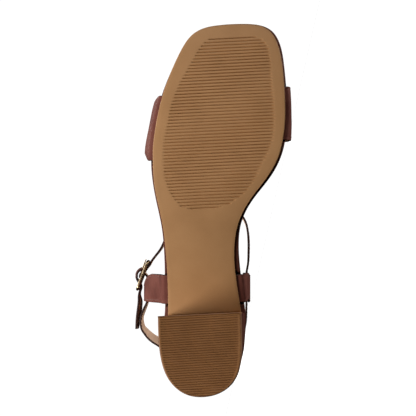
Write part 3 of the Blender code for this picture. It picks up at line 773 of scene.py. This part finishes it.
def band(name, grid, thick, finishes, outside=-1):
    """Strap with rounded painted edges and two sunken seams; grid rows run across it, columns along it.

    finishes are its outer face, its lining and its edge; outside is the side of the grid with its outer face.
    """
    rows, count = grid.shape[:2]
    normal = unit(np.cross(np.gradient(grid, axis=1), np.gradient(grid, axis=0))) * outside
    steps = np.linalg.norm(np.diff(grid, axis=0), axis=2).mean(axis=1)
    inset = np.concatenate([[0.0], np.cumsum(steps)])
    inset = np.minimum(inset, inset[-1] - inset)
    inset[[0, -1]] = 0.0
    full = (1 - (1 - np.clip(inset / EDGE_ROUND, 0.0, 1.0)) ** EDGE_POWER) ** (1 / EDGE_POWER)
    half = thick / 2 * full
    sunk = SEAM_DEPTH * np.exp(-(((inset - STITCH_INSET) / SEAM_WIDTH) ** 2))
    outer = grid + normal * (half - sunk)[:, None, None]
    inner = grid - normal * half[:, None, None]
    ring = np.concatenate([outer, inner[-2:0:-1]])
    size = len(ring)
    around = np.arange(size)
    painted = (inset < EDGE_ROUND * EDGE_PAINTED)[np.minimum(around, size - around)]
    finish = np.where(around < rows - 1, FACE, LINING)
    finish[painted & np.roll(painted, -1)] = PAINT
    faces = ring_faces(count, size)
    indices = np.tile(finish, count - 1).tolist()
    for first in (0, (count - 1) * size):
        for i in range(rows - 1):
            corners = [i, i + 1, (size - i - 1) % size, (size - i) % size]
            faces.append(list(dict.fromkeys(first + corner for corner in corners)))
            indices.append(PAINT)
    points = ring.transpose(1, 0, 2).reshape(-1, 3)
    return piece(name, points, faces, finishes, indices, sharp=60.0), outer, normal


def arc(v, w, side, radius, degrees):
    """Points round a centre at each turn from the given side, -1 outer, 1 inner."""
    return [(v + side * radius * math.cos(turn), w + radius * math.sin(turn)) for turn in np.radians(degrees)]


def tucked_foot(side, station, thick, tuck):
    """Strap path from under the footbed, round its edge and up its side."""
    edge = float(footbed_edge(side, station))
    lay = underside(station) + FOOTBED_LOW + thick / 2
    stand = edge + side * (GAP + thick / 2)
    corner = arc(stand - side * thick, lay + thick, side, thick, (-90.0, -60.0, -30.0, 0.0))
    return [(edge - side * tuck, lay), (edge - side * tuck / 2, lay)] + corner


def vamp_path(share):
    """Middle line of the toe strap, foot to foot, at a share of its width from the back."""
    places = np.linspace(0.0, 1.0, len(VAMP))
    row = [float(through(places, column, np.array([share]))[0]) for column in VAMP.T]
    feet = []
    springs = []
    for side, foot, bulge in ((-1, OUTER_FOOT, OUTER_BULGE), (1, INNER_FOOT, INNER_BULGE)):
        station = row[foot]
        feet.append(tucked_foot(side, station, VAMP_THICK, VAMP_TUCK))
        v = float(footbed_edge(side, station)) + side * (GAP + VAMP_THICK / 2 + row[bulge])
        springs.append((v, float(underside(station)) + FOOTBED_TOP + VAMP_SPRING))
    (outer_v, outer_w), (inner_v, inner_w) = springs
    arch = []
    for angle in np.linspace(0.0, math.pi, num=15):
        c = math.cos(angle)
        s = math.sin(angle)
        over = (1 - math.copysign(abs(c) ** VAMP_FULLNESS, c)) / 2
        v = outer_v + (inner_v - outer_v) * over + VAMP_CROWN_SHIFT * s**2
        rise = (row[RISE] - VAMP_SPRING) * abs(s) ** VAMP_FULLNESS
        arch.append((v, outer_w + (inner_w - outer_w) * over + rise))
    section = spline(feet[0] + arch + feet[1][::-1], BAND_STEPS)
    foot_points = len(feet[0]) * BAND_STEPS
    index = np.arange(len(section))
    over = smooth_step(index, foot_points, len(section) - 1 - foot_points)
    stations = through(np.array([0.0, 0.5, 1.0]), np.array([row[SIDE], row[CROWN], row[INNER_FOOT]]), over)
    at_foot = 1 - smooth_step(index, foot_points - BAND_STEPS, foot_points)
    return np.column_stack([stations + (row[OUTER_FOOT] - row[SIDE]) * at_foot, section])


def tab_path(side, station, strap_v):
    """Middle line of a tab: tucked end, up its side, over the strap and down inside as a fold."""
    foot = tucked_foot(side, station, TAB_THICK, TAB_TUCK)
    clear = STRAP_THICK / 2 + GAP + TAB_THICK / 2
    outside = strap_v + side * clear
    inside = strap_v - side * clear
    shoulder = TAB_STRAP_HEIGHT + STRAP_WIDTH / 2
    hem = TAB_STRAP_HEIGHT - STRAP_WIDTH / 2
    start_v, start_w = foot[-1]
    lean = outside - start_v
    climb = [(start_v + lean * drift, start_w + (hem - start_w) * share) for share, drift in TAB_CLIMB]
    over = arc(strap_v, shoulder + GAP, side, clear, (0.0, 45.0, 90.0, 135.0, 180.0))
    low_v, low_w = climb[-1]
    fold_v = low_v - side * (TAB_THICK + GAP) * FOLD_LAYERS
    fold = [
        (inside, TAB_STRAP_HEIGHT),
        (inside, hem + FOLD_BEND),
        (fold_v, low_w),
        (fold_v - lean * FOLD_LEAN, hem - FOLD_END),
    ]
    return spline(foot + climb + [(outside, hem), (outside, TAB_STRAP_HEIGHT)] + over + fold, BAND_STEPS)


def make_tab(name, side, root, top, strap_v, finishes):
    rows = []
    full = TAB_STRAP_HEIGHT - STRAP_WIDTH / 2 - TAB_NARROWS_FROM
    for share in across(root[1] - root[0]):
        root_station = root[0] + (root[1] - root[0]) * share
        top_station = top[0] + (top[1] - top[0]) * share
        section = tab_path(side, root_station, strap_v)
        narrowing = np.clip((section[:, 1] - TAB_NARROWS_FROM) / full, 0.0, 1.0) ** TAB_NARROWING
        rows.append(np.column_stack([root_station + (top_station - root_station) * narrowing, section]))
    return band(name, np.array(rows), TAB_THICK, finishes, outside=side)


def at_buckle(t, n, h=0.0):
    """Place in the shoe of a point t along the buckle, n out of its plane, h up from its middle."""
    return np.array(BUCKLE_FRONT + BUCKLE_ALONG * t + BUCKLE_OUT * n + BUCKLE_UP * h)


def at_bar(radius, degrees):
    """Place on a circle round the buckle's centre bar; 0 degrees points to the rear bar, 90 out."""
    turn = math.radians(degrees)
    return at_buckle(BUCKLE_CENTRE + radius * math.cos(turn), radius * math.sin(turn))


def strap_line():
    """Middle line of the ankle strap, from its end sewn round the centre bar to its free tip."""
    around = CENTRE_BAR_RADIUS + GAP + STRAP_THICK / 2
    over = around + STRAP_THICK + WOVEN_SLACK
    under = -(BAR_RADIUS + GAP + STRAP_THICK / 2)

    def by_bar(bar, level, *places):
        return [np.append(at_buckle(bar + along, level + out), 0.0) for along, out in places]

    def turned(radius, turns, lean):
        return [np.append(at_bar(radius, degrees), lean) for degrees in turns]

    line = by_bar(BUCKLE_CENTRE, 0.0, SEWN_START) + turned(around, SEWN_TURN, lean=0.0)
    line += by_bar(BUCKLE_CENTRE, 0.0, SEWN_END) + list(STRAP_ROUTE)
    line += by_bar(0.0, under, *WOVEN_FRONT) + turned(over, WOVEN_TURN, WOVEN_LEAN)
    line += by_bar(BUCKLE_CENTRE, 0.0, WOVEN_PAST_CENTRE) + by_bar(BUCKLE_LENGTH, under, *WOVEN_REAR)
    return np.array(line + list(STRAP_FREE_END))


def make_ankle_strap(finishes):
    """Strap along its middle line, with the slot for the prong."""
    line = spline(strap_line(), steps=9)
    places = line[:, :3]
    lean = np.radians(line[:, 3])[:, None]
    up = np.array([0.0, 0.0, 1.0])
    sideways = unit(np.cross(np.gradient(places, axis=0), up))
    width = up * np.cos(lean) + sideways * np.sin(lean)
    grid = np.array([places + width * share * STRAP_WIDTH for share in across(STRAP_WIDTH) - 0.5])
    strap, outer, normal = band("ankle_strap", grid, STRAP_THICK, finishes)
    low = (SLOT_START, -SLOT_BELOW, -PRONG_SLOT / 2)
    high = (BUCKLE_CENTRE + SLOT_PAST, SLOT_ABOVE, PRONG_SLOT / 2)
    joined(strap, box_cutter("prong_slot", low, high), "DIFFERENCE")
    return strap, outer, normal


def tube(name, path, radii, finish, closed=False, sides=20):
    """Round bar along a path, with flat ends unless it closes on itself."""
    path = np.asarray(path, float)
    if closed:
        along = np.roll(path, -1, axis=0) - np.roll(path, 1, axis=0)
    else:
        along = np.gradient(path, axis=0)
    plane = np.linalg.svd(path - path.mean(axis=0))[2][2]
    side = unit(np.cross(along, plane))
    turn = np.linspace(0, 2 * math.pi, sides, endpoint=False)[None, :, None]
    ring = np.cos(turn) * side[:, None, :] + np.sin(turn) * plane
    radii = np.broadcast_to(radii, len(path))[:, None, None]
    points = (path[:, None, :] + radii * ring).reshape(-1, 3)
    faces = ring_faces(len(path), sides, closed)
    if not closed:
        faces += [list(range(sides)), list(range(len(points) - sides, len(points)))]
    return piece(name, points, faces, [finish])


def joined(target, other, operation):
    """Applies a Boolean with another object, which is then removed."""
    modifier = target.modifiers.new("join", "BOOLEAN")
    modifier.operation = operation
    modifier.solver = "EXACT"
    modifier.use_self = True
    modifier.object = other
    graph = bpy.context.evaluated_depsgraph_get()
    mesh = bpy.data.meshes.new_from_object(target.evaluated_get(graph))
    target.modifiers.clear()
    target.data = mesh
    bpy.data.objects.remove(other, do_unlink=True)


def box_cutter(name, low, high):
    """Box in the buckle's own directions, from one corner to the other."""
    points = [at_buckle(*corner) for corner in itertools.product(*zip(low, high))]
    faces = [(0, 1, 3, 2), (4, 6, 7, 5), (0, 4, 5, 1), (2, 3, 7, 6), (0, 2, 6, 4), (1, 5, 7, 3)]
    return piece(name, np.array(points), faces, [])


def make_buckle(metal):
    """Frame with its centre bar, and the prong that hooks round that bar."""
    half = BUCKLE_WIDTH / 2 - BAR_RADIUS
    radius = BUCKLE_CORNER
    low, high = radius - half, half - radius
    front, rear = radius, BUCKLE_LENGTH - radius
    path = []
    for t, h, start in ((front, high, 180.0), (rear, high, 90.0), (rear, low, 0.0), (front, low, -90.0)):
        for turn in np.radians(np.linspace(start, start - 90.0, num=12)):
            path.append(at_buckle(t + radius * math.cos(turn), 0.0, h + radius * math.sin(turn)))
    rim = tube("buckle_frame", path, BAR_RADIUS, metal, closed=True)
    bar_line = [at_buckle(BUCKLE_CENTRE, 0.0, h) for h in np.linspace(-half, half, num=9)]
    joined(rim, tube("centre_bar", bar_line, CENTRE_BAR_RADIUS, metal), "UNION")
    around = CENTRE_BAR_RADIUS + GAP + PRONG_RADIUS
    rest = BAR_RADIUS + GAP + PRONG_RADIUS
    hook = [at_bar(around, degrees) for degrees in np.linspace(*PRONG_HOOK, num=16)]
    hook.append(at_buckle(BUCKLE_LENGTH / 4, (around + rest) / 2))
    hook.append(at_buckle(-PRONG_OVERHANG, rest))
    line = spline(hook, steps=4)
    radii = PRONG_RADIUS * np.interp(np.linspace(0, 1, len(line)), *PRONG_TAPER)
    return rim, tube("buckle_prong", line, radii, metal, sides=14)


def stitch_shape():
    """Points and faces of a stitch of unit size: a blunt ellipsoid along its first axis."""
    rings, sides = 6, 8
    points = [(-1.0, 0.0, 0.0)]
    for angle in math.pi * np.arange(1, rings) / rings:
        r = math.sin(angle) ** STITCH_BLUNTNESS
        for turn in 2 * math.pi * np.arange(sides) / sides:
            points.append((-math.cos(angle), r * math.cos(turn), r * math.sin(turn)))
    points.append((1.0, 0.0, 0.0))
    faces = [[1 + i for i in quad] for quad in ring_faces(rings - 1, sides)]
    tip = len(points) - 1
    for j in range(sides):
        k = (j + 1) % sides
        faces += [[0, 1 + k, 1 + j], [tip - sides + j, tip - sides + k, tip]]
    return np.array(points), faces


def stitches(name, outer, normal, width, columns, finish):
    """Stitches along both seams of a band, by its outer points and normals between two columns."""
    shape, shape_faces = stitch_shape()
    local = shape * [STITCH_LENGTH / 2, STITCH_WIDTH / 2, STITCH_WIDTH * STITCH_FLATNESS]
    inset = across(width) * width
    points = []
    faces = []
    for off in (inset, width - inset):
        row = np.argmin(np.abs(off - STITCH_INSET))
        places = outer[row, slice(*columns)]
        run = run_of(places)
        count = int(run[-1] / STITCH_PITCH)
        for centre in (np.arange(count) + 0.5) * run[-1] / count:
            start, middle, end = [at_run(centre + s * STITCH_LENGTH / 2, run, places) for s in (-1, 0, 1)]
            out = unit(at_run(centre, run, normal[row, slice(*columns)]))
            along = unit(end - start)
            first = len(points) * len(shape)
            points.append(middle + local @ np.array([along, np.cross(out, along), out]))
            faces += [[first + i for i in face] for face in shape_faces]
    return piece(name, np.concatenate(points), faces, [finish])


def colour_of(rgb):
    """Linear colour of an sRGB tone of 0 to 255."""
    values = [channel / 255 for channel in rgb]
    return [v / 12.92 if v <= 0.04045 else ((v + 0.055) / 1.055) ** 2.4 for v in values] + [1.0]


class Finish:
    """A Principled material that is built up by procedural layers."""

    def __init__(self, name, roughness, metallic=0.0, specular=0.5):
        self.material = bpy.data.materials.new(name)
        self.material.use_nodes = True
        self.tree = self.material.node_tree
        self.shader = self.tree.nodes["Principled BSDF"]
        self.fill(self.shader, Roughness=roughness, Metallic=metallic, Specular_IOR_Level=specular)
        self.place = self.add("TexCoord").outputs["Object"]
        self.bump = None

    def fill(self, node, **inputs):
        """Sets inputs of a node, each to a plain value or to the output of another node."""
        for name, value in inputs.items():
            socket = node.inputs[name.replace("_", " ")]
            if isinstance(value, bpy.types.NodeSocket):
                self.tree.links.new(value, socket)
            else:
                socket.default_value = value
        return node

    def add(self, kind, **inputs):
        return self.fill(self.tree.nodes.new("ShaderNode" + kind), **inputs)

    def noise(self, scale, detail, stretch=None):
        place = self.place
        if stretch:
            place = self.add("Mapping", Vector=place, Scale=stretch).outputs["Vector"]
        return self.add("TexNoise", Vector=place, Scale=scale, Detail=detail).outputs["Fac"]

    def cells(self, scale, smoothness):
        node = self.add("TexVoronoi", Vector=self.place, Scale=scale)
        node.feature = "SMOOTH_F1"
        return self.fill(node, Smoothness=smoothness).outputs["Distance"]

    def ramp(self, factor, *stops):
        node = self.add("ValToRGB", Fac=factor)
        elements = node.color_ramp.elements
        while len(elements) < len(stops):
            elements.new(0.5)
        for element, (position, rgb) in zip(elements, stops):
            element.position = position
            element.color = colour_of(rgb)
        return node.outputs["Color"]

    def mix(self, first, second, amount):
        node = self.add("Mix")
        node.data_type = "RGBA"
        return self.fill(node, Factor=amount, A=first, B=second).outputs["Result"]

    def colour(self, output):
        self.fill(self.shader, Base_Color=output)

    def rough(self, factor, low, high):
        node = self.add("MapRange", Value=factor, To_Min=low, To_Max=high)
        self.fill(self.shader, Roughness=node.outputs["Result"])

    def relief(self, factor, strength, distance):
        node = self.add("Bump", Height=factor, Strength=strength, Distance=distance)
        if self.bump is not None:
            self.fill(node, Normal=self.bump)
        self.bump = node.outputs["Normal"]
        self.fill(self.shader, Normal=self.bump)


def leather(name, dark, mid, light):
    """Smooth leather: soft patches of tone, fine pores and a pebbled grain."""
    roughness = (0.38, 0.58)
    made = Finish(name, sum(roughness) / 2, specular=0.03)
    patches = made.ramp(made.noise(scale=55.0, detail=4.0), (0.3, dark), (0.5, mid), (0.72, light))
    pores = made.ramp(made.noise(scale=2600.0, detail=2.0), (0.32, dark), (0.5, mid))
    made.colour(made.mix(patches, pores, amount=0.25))
    made.rough(made.noise(scale=420.0, detail=3.0), *roughness)
    made.relief(made.cells(scale=1500.0, smoothness=0.35), strength=0.35, distance=0.00012)
    made.relief(made.noise(scale=3200.0, detail=2.0), strength=0.18, distance=0.00006)
    return made.material


def sheet(name, dark, mid, light, patch, fine, roughness, strength):
    """Even sheet material with faint mottling and a fine surface."""
    made = Finish(name, sum(roughness) / 2, specular=0.15)
    patches = made.ramp(made.noise(patch, detail=4.0), (0.28, dark), (0.5, mid), (0.74, light))
    specks = made.ramp(made.noise(fine, detail=2.0), (0.3, dark), (0.55, mid))
    made.colour(made.mix(patches, specks, amount=0.3))
    made.rough(made.noise(scale=300.0, detail=3.0), *roughness)
    made.relief(made.noise(fine, detail=3.0), strength, distance=0.00008)
    return made.material


def gold():
    made = Finish("buckle_gold_polished", 0.2, metallic=1.0)
    dark, light = (148, 126, 96), (176, 154, 120)
    made.colour(made.ramp(made.noise(scale=260.0, detail=3.0), (0.3, dark), (0.6, light)))
    made.rough(made.noise(scale=900.0, detail=3.0), low=0.22, high=0.36)
    streaks = made.noise(scale=1500.0, detail=2.0, stretch=(1.0, 1.0, 12.0))
    made.relief(streaks, strength=0.06, distance=0.00003)
    return made.material


def thread():
    made = Finish("sewing_thread", 0.7)
    dark, light = (72, 40, 33), (116, 72, 60)
    tone = made.noise(scale=1800.0, detail=2.0, stretch=(1.0, 4.0, 4.0))
    made.colour(made.ramp(tone, (0.3, dark), (0.65, light)))
    twist = made.noise(scale=5200.0, detail=1.0, stretch=(0.4, 2.0, 2.0))
    made.relief(twist, strength=0.5, distance=0.0001)
    return made.material


def dress(made, node=None):
    """Fixes a piece to the shoe's body and hides the solid that it stands for."""
    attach(made, BODY)
    if node:
        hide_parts(node)


def make_shoe():
    finish = {name: leather(name, *row) for name, row in LEATHERS.items()}
    finish.update({name: sheet(name, *row) for name, row in SHEETS.items()})
    wrap = finish["wrap_leather_brown"]
    lining = finish["lining_tan"]
    tread = finish["outsole_tan_sheet"]
    lift = [finish["lift_rubber_brown"], finish["lift_wall_tan"], finish["lift_rubber_groove_painted_shade"]]
    strap = [finish["strap_leather_brown"], lining, finish["edge_paint_dark"]]
    yarn = thread()

    def dress_band(parts, node, seams, width, columns):
        """Dresses a band and the stitches along its seams."""
        made, outer, normal = parts
        dress(made, node)
        dress(stitches(seams, outer, normal, width, columns, yarn))

    dress(make_outsole([tread, finish["outsole_tan_groove_painted_shade"]]), "outsole")
    dress(make_footbed([wrap]), "footbed")
    dress(make_sock([lining]), "sock_lining")
    dress(make_heel([wrap, tread]), "heel_block")
    dress(make_lift(lift), "top_lift")
    grid = np.array([vamp_path(share) for share in across(VAMP_WIDTH)])
    vamp = band("vamp_strap", grid, VAMP_THICK, strap)
    dress_band(vamp, "vamp_strap", "vamp_stitches", VAMP_WIDTH, columns=(36, -36))
    for name, row in TABS.items():
        back, front = row[1]
        dress_band(make_tab(name, *row, strap), name, name + "_stitches", front - back, columns=(36, -4))
    ankle = make_ankle_strap(strap)
    dress_band(ankle, "ankle_strap", "ankle_strap_stitches", STRAP_WIDTH, columns=(4, -6))
    rim, prong = make_buckle(gold())
    dress(rim, "buckle_frame")
    dress(prong, "buckle_prong")


def make_camera():
    """The photograph's view, with the lens just over the floor and the toe at the top."""
    target = placed([VIEW_MIDDLE])[0]
    front = unit(-AXES[2] * [1, 1, 0])
    drop = math.asin((target[2] - VIEW_HEIGHT) / VIEW_DISTANCE)
    back = front * math.cos(drop) - np.array([0, 0, math.sin(drop)])
    eye = target + VIEW_DISTANCE * back
    up = unit(AXES[0] - back * AXES[0].dot(back))
    right = np.cross(up, back)
    lens = bpy.data.cameras.new("photo_view")
    lens.sensor_width = SENSOR
    lens.lens = SENSOR * VIEW_DISTANCE / VIEW_WIDTH
    lens.clip_start = 0.01
    camera = linked("photo_view", lens)
    camera.matrix_world = Matrix.Translation(Vector(eye)) @ Matrix((right, up, back)).transposed().to_4x4()
    bpy.context.scene.camera = camera


def make_stage():
    """Pale floor, white surroundings and soft lights."""
    mesh = bpy.data.meshes.new("floor")
    reach = 4.0
    corners = [(-reach, -reach, 0), (reach, -reach, 0), (reach, reach, 0), (-reach, reach, 0)]
    mesh.from_pydata(corners, [], [(0, 1, 2, 3)])
    made = Finish("floor_pale", 0.8, specular=0.0)
    dark, light = (196, 196, 196), (202, 202, 202)
    made.colour(made.ramp(made.noise(scale=3.0, detail=2.0), (0.3, dark), (0.7, light)))
    made.fill(made.shader, Emission_Color=WHITE, Emission_Strength=0.8)
    mesh.materials.append(made.material)
    floor = linked("floor", mesh)
    # The floor and the surroundings show white, but the lamps alone light the shoe and mirror in it.
    floor.visible_diffuse = False
    floor.visible_glossy = False
    floor.visible_shadow = False
    world = bpy.data.worlds.new("studio")
    bpy.context.scene.world = world
    world.use_nodes = True
    world.cycles_visibility.diffuse = False
    world.cycles_visibility.glossy = False
    sky = world.node_tree.nodes["Background"]
    sky.inputs["Color"].default_value = WHITE
    sky.inputs["Strength"].default_value = 1.06
    for name, (place, size, power) in LAMPS.items():
        lamp = bpy.data.lights.new(name, "AREA")
        lamp.shape = "DISK"
        lamp.size = size
        lamp.energy = power
        holder = linked(name, lamp)
        holder.location = place
        holder.rotation_euler = (Vector(LAMP_AIM) - Vector(place)).to_track_quat("-Z", "Y").to_euler()
        holder.visible_camera = False
    bpy.context.scene.view_settings.view_transform = "Standard"


make_shoe()
make_camera()
make_stage()
